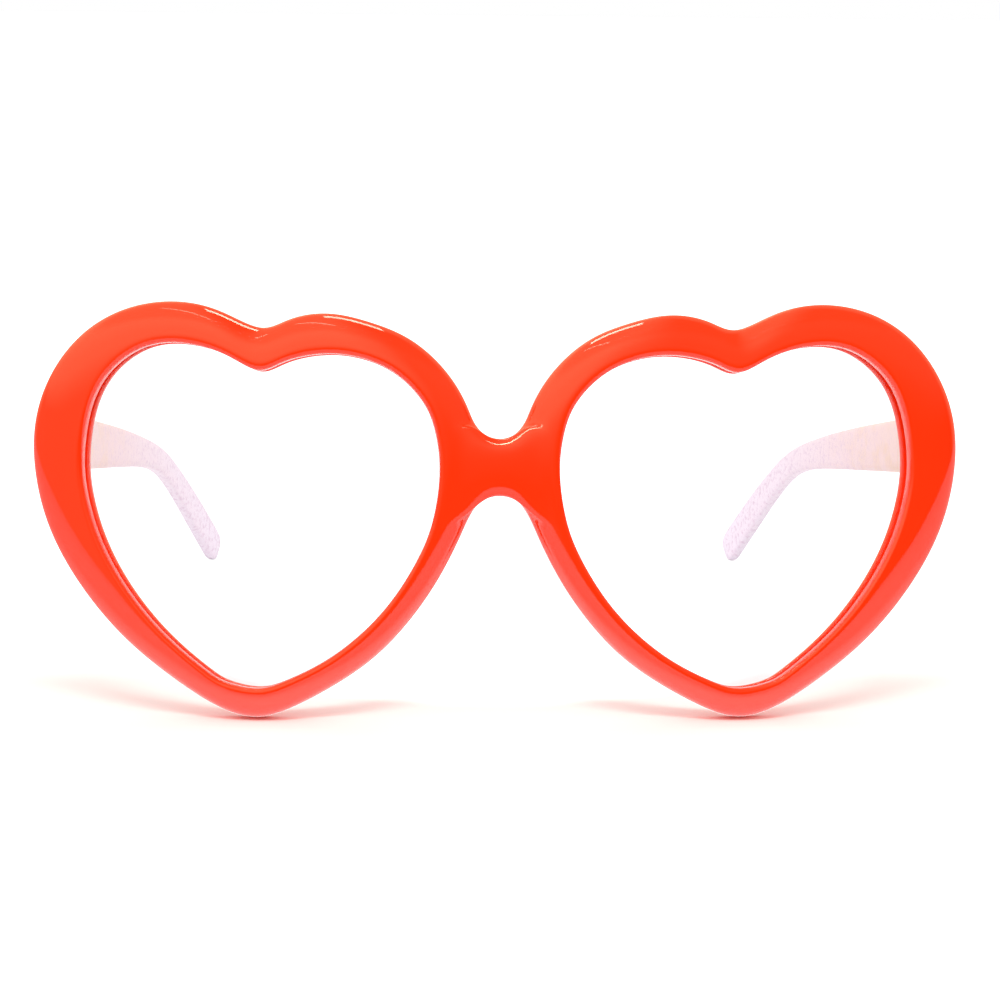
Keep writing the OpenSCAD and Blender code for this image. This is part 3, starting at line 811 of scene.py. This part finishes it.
upward = add(tree, "ShaderNodeMix", {"data_type": "FLOAT"}, {
    "Factor": rays.outputs["Is Glossy Ray"], "A": lit_upward.outputs["Value"],
    "B": mirrored_height.outputs["Color"],
})
mirrored_side = add(tree, "ShaderNodeMapRange", {"interpolation_type": "SMOOTHSTEP"}, {
    "Value": apart.outputs["X"], "From Min": -0.1, "From Max": 0.25, "To Min": 2.05, "To Max": 0.5,
})
lit_side = add(tree, "ShaderNodeMapRange", {"interpolation_type": "SMOOTHSTEP"}, {
    "Value": apart.outputs["X"], "From Min": -0.6, "From Max": 0.6, "To Min": 1.25, "To Max": 1.2,
})
sideways = add(tree, "ShaderNodeMath", {"operation": "ABSOLUTE"}, {0: apart.outputs["X"]})
lit_edge = add(tree, "ShaderNodeMapRange", {"interpolation_type": "SMOOTHSTEP"}, {
    "Value": sideways.outputs["Value"], "From Min": 0.5, "From Max": 1.0, "To Min": 1.0,
    "To Max": 2.0,
})
lit_sides = add(tree, "ShaderNodeMath", {"operation": "MULTIPLY"}, {
    0: lit_side.outputs["Result"], 1: lit_edge.outputs["Result"],
})
side_share = add(tree, "ShaderNodeMix", {"data_type": "FLOAT"}, {
    "Factor": rays.outputs["Is Glossy Ray"], "A": lit_sides.outputs["Value"],
    "B": mirrored_side.outputs["Result"],
})
overhead = add(tree, "ShaderNodeMath", {"operation": "MULTIPLY"}, {
    0: upward.outputs["Result"], 1: side_share.outputs["Result"],
})
behind = add(tree, "ShaderNodeMapRange", {"interpolation_type": "SMOOTHSTEP"}, {
    "Value": apart.outputs["Y"], "From Min": -0.1, "From Max": 0.3, "To Min": 0.0, "To Max": 1.0,
})
leftward = add(tree, "ShaderNodeMapRange", {"interpolation_type": "SMOOTHSTEP"}, {
    "Value": apart.outputs["X"], "From Min": -0.1, "From Max": -0.5, "To Min": 0.03,
    "To Max": 0.58,
})
around_it = add(tree, "ShaderNodeMath", {"operation": "MAXIMUM"}, {
    0: behind.outputs["Result"], 1: leftward.outputs["Result"],
})
strongest = add(tree, "ShaderNodeMath", {"operation": "MAXIMUM"}, {
    0: overhead.outputs["Value"], 1: around_it.outputs["Value"],
})
warmth = add(tree, "ShaderNodeMix", {"data_type": "RGBA"}, {
    "Factor": rays.outputs["Is Glossy Ray"], "A": srgb("#ffffff"), "B": srgb("#ffe4b8"),
})
light = add(tree, "ShaderNodeBackground", {}, {
    "Color": warmth.outputs["Result"], "Strength": strongest.outputs["Value"],
})
white = add(tree, "ShaderNodeBackground", {}, {"Color": srgb("#ffffff"), "Strength": 1})
seen = add(tree, "ShaderNodeMath", {"operation": "MAXIMUM"}, {
    0: rays.outputs["Is Camera Ray"], 1: rays.outputs["Is Transmission Ray"],
})
room = add(tree, "ShaderNodeMixShader", {}, {
    "Fac": seen.outputs["Value"], 1: light.outputs["Background"], 2: white.outputs["Background"],
})
add(tree, "ShaderNodeOutputWorld", {}, {"Surface": room.outputs["Shader"]})


def area_lamp(name, location, turn, size, radiance, colour="#ffffff", beam=180):
    """A rectangular lamp of the given radiance that the camera doesn't see."""
    data = bpy.data.lights.new(name, "AREA")
    data.shape = "RECTANGLE"
    data.size, data.size_y = size
    data.energy = radiance * math.pi * size[0] * size[1]
    data.color = srgb(colour)[:3]
    data.spread = math.radians(beam)
    lamp = bpy.data.objects.new(name, data)
    lamp.location = location
    lamp.rotation_euler = turn
    lamp.visible_camera = False
    bpy.context.scene.collection.objects.link(lamp)
    return lamp


def aimed(location, target):
    return (Vector(target) - Vector(location)).to_track_quat("-Z", "Y").to_euler()


# Three small lamps that only the gloss shows: a strip close over the bridge draws the cream
# streaks on the lobes, a thin one farther in front the fine line beside them, and a narrow beam
# close in front of the bridge the line along its saddle.
saddle_at = (-0.003, -0.087, 0.067)
saddle_target = (0, -0.062, 0.034)
thin_turn = (0, 0, math.radians(-49))
for lamp in (
    area_lamp("strip_lamp", (-0.012, -0.034, 0.175), (0, 0, 0), (0.052, 0.028), 14, "#fff6e0"),
    area_lamp("thin_lamp", (-0.09, -0.165, 0.35), thin_turn, (0.15, 0.006), 10, "#fff6e0"),
    area_lamp(
        "saddle_lamp", saddle_at, aimed(saddle_at, saddle_target), (0.017, 0.0035), 3.8,
        "#fff0d0", beam=50,
    ),
):
    lamp.visible_diffuse = False

# A wide soft box high in front, for the matt light, throws the shadows back behind the hearts.
# Its strength is the brightness that it alone gives a white surface that faces it.
box_strength = 0.4
box_at = (0, -0.43, 0.69)
box_target = (0, near_y, 0.03)
box_size = (0.4, 0.14)
box_reach = (Vector(box_target) - Vector(box_at)).length
box_radiance = box_strength * math.pi * box_reach**2 / (box_size[0] * box_size[1])
box = area_lamp("front_lamp", box_at, aimed(box_at, box_target), box_size, box_radiance)
box.visible_glossy = False

# The camera, as far from the glasses and turned to them as for the photograph
camera_at = Vector((-0.02124, -0.53933, 0.12807))
camera_yaw = math.radians(2.557)
camera_pitch = math.radians(-10.741)
camera_roll = math.radians(0.625)
focal_pixels = 2849.4
picture_pixels = 1000
camera_data = bpy.data.cameras.new("camera")
camera_data.sensor_width = 36
camera_data.lens = camera_data.sensor_width * focal_pixels / picture_pixels
camera = bpy.data.objects.new("camera", camera_data)
bpy.context.scene.collection.objects.link(camera)
forward = Vector((
    math.sin(camera_yaw) * math.cos(camera_pitch),
    math.cos(camera_yaw) * math.cos(camera_pitch),
    math.sin(camera_pitch),
))
level = Vector((math.cos(camera_yaw), -math.sin(camera_yaw), 0))
above = level.cross(forward)
right = level * math.cos(camera_roll) + above * math.sin(camera_roll)
up = above * math.cos(camera_roll) - level * math.sin(camera_roll)
camera.matrix_world = (
    Matrix.Translation(camera_at) @ Matrix((right, up, -forward)).transposed().to_4x4()
)
bpy.context.scene.camera = camera

view = bpy.context.scene.view_settings
view.view_transform = "Standard"
